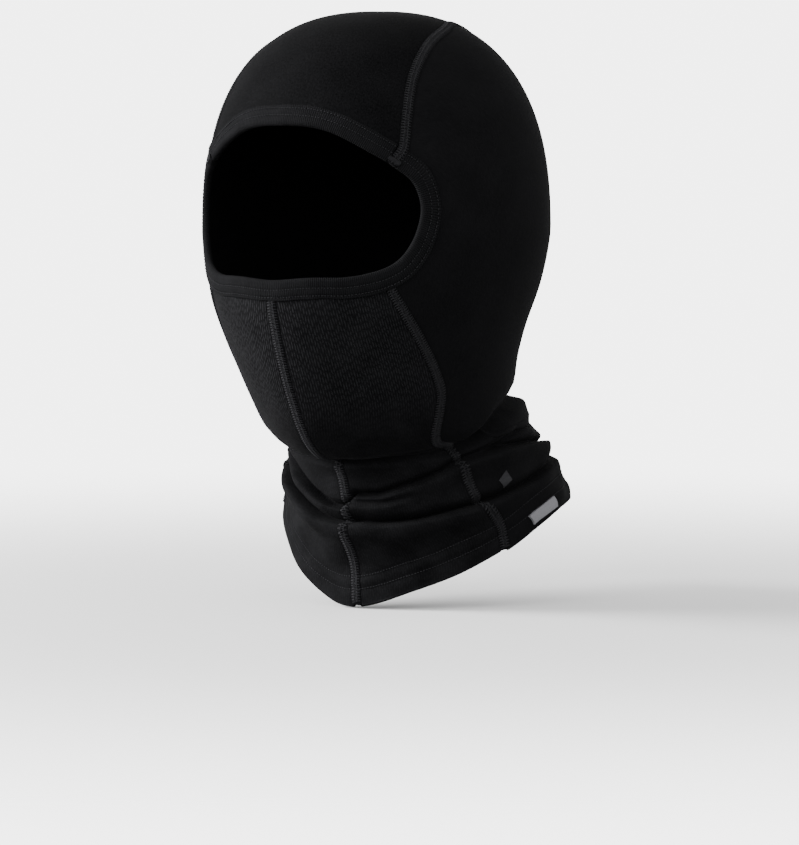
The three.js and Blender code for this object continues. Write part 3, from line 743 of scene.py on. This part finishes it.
def binding_row(name, start, end, across, seed):
    def places_at(along):
        flat = start + along.ravel()
        return off_opening(flat, across).reshape(*along.shape, 2)

    return stitches(name, places_at, end - start, BINDING_SKIN, seed=seed)


def above_hem(angles, distance):
    """Places straight up from the hem's edge, at one distance over the surface."""
    angles = np.asarray(angles, float)
    levels = np.linspace(HEM_LEVEL, HEM_LEVEL - 0.6, 301)
    walk = skin(chart(angles[..., None], levels))
    run = np.cumsum(np.linalg.norm(np.diff(walk, axis=-2), axis=-1), -1)
    run = np.concatenate([np.zeros((*angles.shape, 1)), run], -1)
    over = (run > distance).argmax(-1)
    low = np.take_along_axis(run, over[..., None] - 1, -1)[..., 0]
    high = np.take_along_axis(run, over[..., None], -1)[..., 0]
    share = (distance - low) / (high - low)
    return chart(angles, levels[over - 1] + share * (levels[1] - levels[0]))


def hem_row(name, distance, seed):
    line = Line(above_hem(np.arange(0, 360, 5.0), distance), closed=True)

    def places_at(along):
        return line.at(along % line.total)

    return stitches(name, places_at, line.total, 0.16, seed=seed)


# ---- Small pieces ----

def bartack(name, hand, seed):
    chance = np.random.default_rng(seed)
    count = 17
    along = np.linspace(-3, 3, count)
    s = np.linspace(-1, 1, 7)
    across = 2.2 + 1.05 * s[None] + chance.uniform(-0.12, 0.12, (count, 1))
    distances = np.broadcast_to(crown_start + along[:, None] + 0.12 * s[None], across.shape)
    centre = opening.at(distances)
    direction = unit(skin(opening.at(distances + 0.5)) - skin(opening.at(distances - 0.5)))
    place = centre + chart_step(centre, np.cross(smooth_normal(centre), direction)) * across[..., None]
    place = on_side(hand, place)
    up = smooth_normal(place)
    height = BINDING_SKIN + 0.3 + 0.5 * (1 - s**4)[None] + chance.uniform(-0.06, 0.06, (count, 1))
    bars = cloth(place) + up * height[..., None]
    return strands(name, bars, up, 0.26, sides=6)


def plate(name, places, bottom, top, across, along):
    """A thin plate over a net of places, with softly rounded edges."""
    rows, columns = places.shape[:2]
    base, up = cloth(places), smooth_normal(places)
    over = base + up * top[..., None]
    under = base + up * bottom[..., None]
    rim = rim_of(rows, columns)
    i, j = rim.T
    count = rows * columns
    ring = i * columns + j
    following = np.roll(ring, -1)
    faces = grid_faces(rows, columns) + [face[::-1] for face in grid_faces(rows, columns, count)]
    faces += np.stack([following, ring, ring + count, following + count], -1).tolist()
    points = np.vstack([over.reshape(-1, 3), under.reshape(-1, 3)])
    faces = outward(points - points.mean(0), faces)
    uv = np.stack(np.broadcast_arrays(across, along[:, None]), -1)
    return make_object(name, points, faces, np.vstack([uv, uv]).reshape(-1, 2))


def patch(line_places, half_width, steps):
    across = np.linspace(-half_width, half_width, steps)
    return beside(line_places, across), across


def side_tab():
    guide = Line([above_hem(TAB_ANGLE + turn, TAB_ABOVE_HEM) for turn in (0, 8, 16, 24)])
    along = np.linspace(0, TAB_LENGTH, 34)
    places, across = patch(guide.at(along), TAB_HALF_WIDTH, 13)
    edge = np.minimum(TAB_HALF_WIDTH - np.abs(across)[None], np.minimum(along, TAB_LENGTH - along)[:, None])
    round_off = 0.28 * np.exp(-(edge / 0.35) ** 2)
    sewn = 0.22 * (bump(along - 1.5, 0.5) + bump(along - TAB_LENGTH + 1.5, 0.5))[:, None]
    top = 1.35 - round_off - sewn + 0 * across[None]
    bottom = np.full_like(top, 0.12)
    return plate("side_tab_tape", places, bottom, top, across, along)


def care_label():
    run = np.linspace(0, LABEL_LENGTH, 34)
    places = [above_hem(np.array(180.0), LABEL_ABOVE_HEM + d) for d in run]
    places, across = patch(np.array(places), LABEL_HALF_WIDTH, 25)
    curl = 0.5 * np.sin(run / LABEL_LENGTH * math.pi * 1.6)[:, None] * (1 + 0.3 * np.cos(across / 6))[None]
    bottom = LABEL_HEIGHT - 0.4 * curl - 0.9 * (run / LABEL_LENGTH)[:, None]
    return plate("care_label_ribbon", places, bottom, bottom + 0.35, across, run)


def printed_mark():
    """A plain diamond."""
    middle = chart(MARK_ANGLE, MARK_LEVEL)
    step_up = chart_step(middle, np.array([0.0, 0, 1]))
    along = np.linspace(-MARK_HALF_WIDTH, MARK_HALF_WIDTH, 25)
    line = middle + step_up * along[:, None]
    width = np.maximum(MARK_HALF_WIDTH - np.abs(along), 0.12)
    across = np.linspace(-1, 1, 21)[None] * width[:, None]
    places = beside(line, across)
    top = np.full(across.shape, 0.3)
    return plate("printed_mark_print", places, top - 0.25, top, across, along)


# ---- Materials ----

class Shader:
    """A small helper that lays out one material's nodes."""

    def __init__(self, name):
        self.material = bpy.data.materials.new(name)
        self.material.use_nodes = True
        self.tree = self.material.node_tree
        self.bsdf = self.tree.nodes["Principled BSDF"]

    def node(self, kind, inputs=(), **settings):
        made = self.tree.nodes.new(kind)
        for key, value in settings.items():
            setattr(made, key, value)
        for socket, value in dict(inputs).items():
            if isinstance(value, bpy.types.NodeSocket):
                self.tree.links.new(value, made.inputs[socket])
            else:
                made.inputs[socket].default_value = value
        return made

    def math(self, operation, a, b=0.0, c=0.0):
        return self.node("ShaderNodeMath", {0: a, 1: b, 2: c}, operation=operation).outputs[0]

    def add(self, a, b):
        return self.math("ADD", a, b)

    def times(self, a, b):
        return self.math("MULTIPLY", a, b)

    def centred(self, value, size):
        return self.times(self.math("SUBTRACT", value, 0.5), size)

    def cut(self):
        """The cloth's own coordinates in millimetres: across the wales, and along them."""
        uv = self.node("ShaderNodeUVMap", uv_map="Cut").outputs[0]
        split = self.node("ShaderNodeSeparateXYZ", {0: uv})
        return uv, split.outputs[0], split.outputs[1]

    def wave(self, distance, pitch, phase=0.0):
        turn = self.math("MULTIPLY_ADD", distance, 2 * math.pi / pitch, phase)
        return self.math("MULTIPLY_ADD", self.math("SINE", turn), 0.5, 0.5)

    def noise(self, vector, scale, detail=2.0, rough=0.5):
        inputs = {"Vector": vector, "Scale": scale, "Detail": detail, "Roughness": rough}
        return self.node("ShaderNodeTexNoise", inputs).outputs[0]

    def stretched(self, vector, x, y, z=1.0):
        return self.node("ShaderNodeMapping", {0: vector, 3: (x, y, z)}).outputs[0]

    def mix(self, tone, low, high):
        share = self.node("ShaderNodeClamp", {0: tone}).outputs[0]
        inputs = {0: share, 6: (*low, 1), 7: (*high, 1)}
        return self.node("ShaderNodeMix", inputs, data_type="RGBA").outputs[2]

    def finish(self, colour, height, bump_size, roughness, sheen, sheen_roughness, specular):
        if isinstance(colour, bpy.types.NodeSocket):
            self.tree.links.new(colour, self.bsdf.inputs["Base Color"])
        else:
            self.bsdf.inputs["Base Color"].default_value = (*colour, 1)
        self.bsdf.inputs["Roughness"].default_value = roughness
        self.bsdf.inputs["Specular IOR Level"].default_value = specular
        self.bsdf.inputs["Sheen Weight"].default_value = sheen
        self.bsdf.inputs["Sheen Roughness"].default_value = sheen_roughness
        self.bsdf.inputs["Sheen Tint"].default_value = (1, 1, 1, 1)
        if height is not None:
            inputs = {"Strength": 1.0, "Distance": bump_size * MM, "Height": height}
            made = self.node("ShaderNodeBump", inputs)
            self.tree.links.new(made.outputs[0], self.bsdf.inputs["Normal"])
        return self.material


def jersey(name, dark, light, heather, streak, bump_size):
    """Fine plain knit, whose loops are too small to see: what shows is a heather of lighter fibres."""
    s = Shader(name)
    uv = s.cut()[0]
    fibres = s.noise(s.stretched(uv, 1.0, streak), 1.35, 1.0, 0.5)
    lint = s.noise(uv, 0.55, 3.0, 0.7)
    clouds = s.noise(uv, 0.05, 2.0)
    tone = s.math("MULTIPLY_ADD", s.math("SUBTRACT", fibres, 0.5), heather, 0.45)
    tone = s.add(tone, s.centred(lint, 0.5 * heather))
    tone = s.add(tone, s.centred(clouds, 0.7))
    height = s.add(fibres, lint)
    return s.finish(s.mix(tone, dark, light), height, bump_size, 0.85, 0.004, 0.45, 0.01)


def pique(name, dark, light):
    """Textured knit: staggered upright tucks. It calms into plain fine ribs in the neck, and as the lighter
    tucks fade, the fabric there under the jaw turns darker: painted shade.
    """
    s = Shader(name)
    uv, across, along = s.cut()
    pitch = 1.31
    column = s.math("DIVIDE", across, pitch)
    number = s.math("FLOOR", column)
    chance = s.node("ShaderNodeTexWhiteNoise", {"W": number}, noise_dimensions="1D").outputs[0]
    jitter = s.times(s.noise(s.stretched(uv, 0.6, 0.12), 1.0, 1.0), 2.2)
    row = s.add(s.add(s.math("DIVIDE", along, 4.2), s.times(chance, 3.0)), jitter)
    peak = s.math("PINGPONG", s.math("FRACT", row), 0.5)
    dash = s.math("SMOOTH_MIN", 1.0, s.times(peak, 3.0), 0.3)
    rib = s.math("POWER", s.wave(across, pitch, -math.pi / 2), 1.4)
    # calm fades the tucks towards the neck. The tucks carry the lighter tone, so this also darkens the
    # fabric under the jaw: painted shade.
    calm = s.node("ShaderNodeMapRange", {0: along, 1: -34.0, 2: 2.0, 3: 1.0, 4: 0.2},
                  interpolation_type="SMOOTHSTEP").outputs[0]
    tuck = s.times(s.times(dash, rib), calm)
    fine = s.times(s.wave(across, 0.72), s.wave(along, 0.8))
    lint = s.noise(s.stretched(uv, 1.0, 0.6), 2.0, 4.0, 0.7)
    height = s.add(s.add(tuck, s.times(fine, 0.3)), s.times(lint, 0.6))
    clouds = s.noise(uv, 0.07, 2.0)
    # The tucks' fade makes this tone darker under the jaw: painted shade.
    tone = s.add(s.math("MULTIPLY_ADD", tuck, 0.85, -0.12), s.times(lint, 0.5))
    tone = s.add(tone, s.centred(clouds, 0.5))
    return s.finish(s.mix(tone, dark, light), height, 0.26, 0.85, 0.004, 0.45, 0.01)


def ribbed(name, dark, light):
    """The binding: fine ribs across its width."""
    s = Shader(name)
    uv, _, along = s.cut()
    rib = s.wave(along, 0.95)
    lint = s.noise(s.stretched(uv, 0.5, 1.5), 1.6, 3.0, 0.7)
    height = s.add(s.times(rib, 0.9), s.times(lint, 0.7))
    tone = s.add(s.times(rib, 0.45), s.times(lint, 0.6))
    tone = s.add(tone, s.centred(s.noise(uv, 0.12, 1.0), 0.6))
    return s.finish(s.mix(tone, dark, light), height, 0.25, 0.82, 0.004, 0.4, 0.01)


def thread(name, dark, light, sheen=0.35):
    """Twisted yarn."""
    s = Shader(name)
    uv, across, along = s.cut()
    twist = s.wave(s.add(along, s.times(across, 0.5)), 0.42)
    fleck = s.noise(uv, 1.1, 2.0)
    tone = s.math("MULTIPLY_ADD", twist, 0.55, s.math("MULTIPLY_ADD", fleck, 0.9, -0.25))
    return s.finish(s.mix(tone, dark, light), twist, 0.06, 0.6, sheen, 0.35, 0.02)


def woven(name, dark, light, pitch, bump_size, roughness, sheen, specular=0.3):
    """A plain weave of warp and weft."""
    s = Shader(name)
    uv, across, along = s.cut()
    warp, weft = s.wave(across, pitch), s.wave(along, pitch * 0.8)
    over = s.times(warp, weft)
    under = s.times(s.math("SUBTRACT", 1.0, warp), s.math("SUBTRACT", 1.0, weft))
    weave = s.add(over, under)
    fleck = s.noise(uv, 1.2, 2.0)
    tone = s.add(s.times(weave, 0.6), s.times(fleck, 0.45))
    return s.finish(s.mix(tone, dark, light), weave, bump_size, roughness, sheen, 0.4, specular)


def printed(name, dark, light):
    """Heat print worn into the knit under it."""
    s = Shader(name)
    uv, across, along = s.cut()
    grain = s.times(s.wave(across, 0.8), s.wave(along, 0.7))
    worn = s.noise(uv, 1.7, 3.0, 0.7)
    tone = s.add(s.times(grain, 0.35), s.times(worn, 0.75))
    return s.finish(s.mix(tone, dark, light), grain, 0.1, 0.55, 0.0, 0.3, 0.03)


def grey(value, blue=1.08):
    return (value, value, value * blue)


MATERIALS = {
    "crown_knit": jersey("crown_knit", grey(0.0022), grey(0.0070), 1.5, 0.7, 0.10),
    "side_knit": jersey("side_knit", grey(0.0042), grey(0.0082), 0.8, 0.2, 0.08),
    "front_knit": pique("front_knit", grey(0.0038), grey(0.0190)),
    "binding_knit": ribbed("binding_knit", grey(0.0038), grey(0.0106)),
    "seam_bed": jersey("seam_bed", grey(0.0035), grey(0.008), 1.2, 0.5, 0.12),
    "seam_thread": thread("seam_thread", grey(0.009), grey(0.032), 0.01),
    "stitch_thread": thread("stitch_thread", grey(0.009), grey(0.026), 0.01),
    "tab_weave": woven("tab_weave", grey(0.12), grey(0.28), 0.5, 0.12, 0.7, 0.0),
    "label_weave": woven("label_weave", (0.45, 0.45, 0.44), (0.68, 0.68, 0.67), 0.3, 0.05, 0.45, 0.0, 0.4),
    "mark_print": printed("mark_print", grey(0.020), grey(0.042)),
}


def place_piece(piece, slot_name, *nodes, material=None):
    piece.data.materials.append(MATERIALS[material or slot_name])
    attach(piece, "root")
    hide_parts(*nodes)
    return piece


# ---- Assembly ----

crown = place_piece(crown_panel(), "crown_knit", "crown_panel")
for side, hand in SIDES.items():
    panel = place_piece(side_panel(side, hand), "side_knit", f"side_panel_{side}")
    panel = place_piece(front_panel(side, hand), "front_knit", f"front_panel_{side}")

brow_reach = crown_start - BINDING_END
spans = {"forehead": (-brow_reach, brow_reach),
         "face": (crown_start + BINDING_END, opening.total - crown_start - BINDING_END)}
for number, (part, (start, end)) in enumerate(spans.items()):
    band = place_piece(binding(f"{part}_binding_knit", start, end), "binding_knit", f"{part}_binding")
    for row, distance in BINDING_ROWS.items():
        name = f"{part}_stitch_row_{row}"
        stitch_row = binding_row(f"{name}_stitches", start, end, distance, 20 + number + int(distance))
        place_piece(stitch_row, "stitch_thread", name)

seams = [(f"crown_seam_{side}", crown_line, hand) for side, hand in SIDES.items()]
seams += [(f"side_seam_{side}", side_line, hand) for side, hand in SIDES.items()]
seams += [("centre_front_seam", centre_line, 1)]
for number, (name, line, hand) in enumerate(seams):
    place_piece(seam_bed(f"{name}_bed", line, hand), "seam_thread", name, material="seam_bed")
    place_piece(seam_threads(f"{name}_threads", line, hand, 40 + number), "seam_thread", name)

for number, (row, distance) in enumerate(HEM_ROWS.items()):
    name = f"hem_stitch_row_{row}"
    place_piece(hem_row(f"{name}_stitches", distance, 60 + number), "stitch_thread", name)
for number, (side, hand) in enumerate(SIDES.items()):
    name = f"crown_bartack_{side}"
    place_piece(bartack(f"{name}_threads", hand, 70 + number), "stitch_thread", name)
place_piece(side_tab(), "tab_weave", "side_tab")
place_piece(care_label(), "label_weave", "care_label")
place_piece(printed_mark(), "mark_print", "printed_mark")

# ---- Floor, light and camera ----

lowest = min(corner.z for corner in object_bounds())
BACKDROP = 5.0              # what the camera sees behind the object
AROUND, UNDERFOOT = 2.2, 0.12  # the soft light of the studio, from all round and from below
OVERHEAD = 0.25             # share of that light that comes straight from above
FLOOR_RADIUS, FLOOR_GAP = 1500, 0.6  # mm; the gap is under the lowest point of the hem


def floor_disc():
    rings, around = 40, 96
    radius = np.linspace(0, 1, rings + 1)[1:] ** 1.3 * FLOOR_RADIUS
    turn = np.arange(around) * 2 * math.pi / around
    points = np.stack([radius[:, None] * np.cos(turn), radius[:, None] * np.sin(turn),
                       np.full((rings, around), lowest / MM - FLOOR_GAP)], -1)
    faces = grid_faces(rings, around, wrap_columns=True) + [list(range(around))]
    disc = make_object("floor", points, faces)
    s = Shader("floor")
    place = s.node("ShaderNodeTexCoord").outputs["Object"]
    far = s.node("ShaderNodeVectorMath", {0: place}, operation="LENGTH").outputs[1]
    inputs = {0: far, 1: 0.25, 2: 0.95}
    fade = s.node("ShaderNodeMapRange", inputs, interpolation_type="SMOOTHSTEP").outputs[0]
    s.finish((0.9, 0.9, 0.9), None, 0, 0.9, 0.0, 0.5, 0.0)
    clear = s.node("ShaderNodeBsdfTransparent").outputs[0]
    mixed = s.node("ShaderNodeMixShader", {0: fade, 1: s.bsdf.outputs[0], 2: clear}).outputs[0]
    s.tree.links.new(mixed, s.tree.nodes["Material Output"].inputs[0])
    disc.data.materials.append(s.material)
    disc.visible_diffuse = False     # no light comes back up from it, as over dark clothing
    return disc


floor_disc()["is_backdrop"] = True


def studio_world():
    """A plain pale backdrop; the light that it gives is softer, and comes mostly from above."""
    world = bpy.data.worlds.new("studio")
    bpy.context.scene.world = world
    world.use_nodes = True
    tree = world.node_tree
    light = tree.nodes["Background"]
    way = tree.nodes.new("ShaderNodeSeparateXYZ")
    tree.links.new(tree.nodes.new("ShaderNodeTexCoord").outputs["Generated"], way.inputs[0])
    strength = tree.nodes.new("ShaderNodeMapRange")
    strength.interpolation_type = "SMOOTHSTEP"
    for socket, value in ((1, -0.4), (2, 0.25), (3, UNDERFOOT), (4, AROUND)):
        strength.inputs[socket].default_value = value
    dimming = tree.nodes.new("ShaderNodeMapRange")
    for socket, value in ((1, 0.2), (2, 0.9), (3, 1), (4, OVERHEAD)):
        dimming.inputs[socket].default_value = value
    product = tree.nodes.new("ShaderNodeMath")
    product.operation = "MULTIPLY"
    for made, socket in ((strength, 0), (dimming, 1)):
        tree.links.new(way.outputs[2], made.inputs[0])
        tree.links.new(made.outputs[0], product.inputs[socket])
    tree.links.new(product.outputs[0], light.inputs[1])
    light.inputs[0].default_value = (1, 1, 1, 1)
    backdrop = tree.nodes.new("ShaderNodeBackground")
    backdrop.inputs[0].default_value = (1, 1, 1, 1)
    backdrop.inputs[1].default_value = BACKDROP
    mix = tree.nodes.new("ShaderNodeMixShader")
    tree.links.new(tree.nodes.new("ShaderNodeLightPath").outputs["Is Camera Ray"], mix.inputs[0])
    tree.links.new(light.outputs[0], mix.inputs[1])
    tree.links.new(backdrop.outputs[0], mix.inputs[2])
    tree.links.new(mix.outputs[0], tree.nodes["World Output"].inputs[0])


studio_world()


def soft_light(name, place, target, size, power):
    data = bpy.data.lights.new(name, "AREA")
    data.shape, data.size, data.energy = "DISK", size, power
    lamp = bpy.data.objects.new(name, data)
    lamp.location = place
    lamp.rotation_euler = (Vector(target) - Vector(place)).to_track_quat("-Z", "Y").to_euler()
    bpy.context.scene.collection.objects.link(lamp)


soft_light("key", (-2.25, -1.1, 0.75), (0, 0, 0), 1.3, 205)
soft_light("fill", (-0.9, -2.4, 0.9), (0, 0, -0.05), 1.6, 55)

VIEW_ANGLE, VIEW_ELEVATION, VIEW_DISTANCE = math.radians(30), math.radians(4), 2.5
FRAME_SIZE = 0.4225          # metres across the longer side of the picture, at the hood
back = np.array([math.sin(VIEW_ANGLE) * math.cos(VIEW_ELEVATION),
                 -math.cos(VIEW_ANGLE) * math.cos(VIEW_ELEVATION), math.sin(VIEW_ELEVATION)])
right = np.array([math.cos(VIEW_ANGLE), math.sin(VIEW_ANGLE), 0])
up = np.cross(back, right)
centre = right * 0.01125 - up * 0.09625
camera_data = bpy.data.cameras.new("camera")
camera_data.lens = VIEW_DISTANCE * camera_data.sensor_width / FRAME_SIZE
camera = bpy.data.objects.new("camera", camera_data)
bpy.context.scene.collection.objects.link(camera)
camera.matrix_world = Matrix([[*row, p] for row, p in zip(
    np.stack([right, up, back], 1), centre + back * VIEW_DISTANCE)] + [[0, 0, 0, 1]])
bpy.context.scene.camera = camera
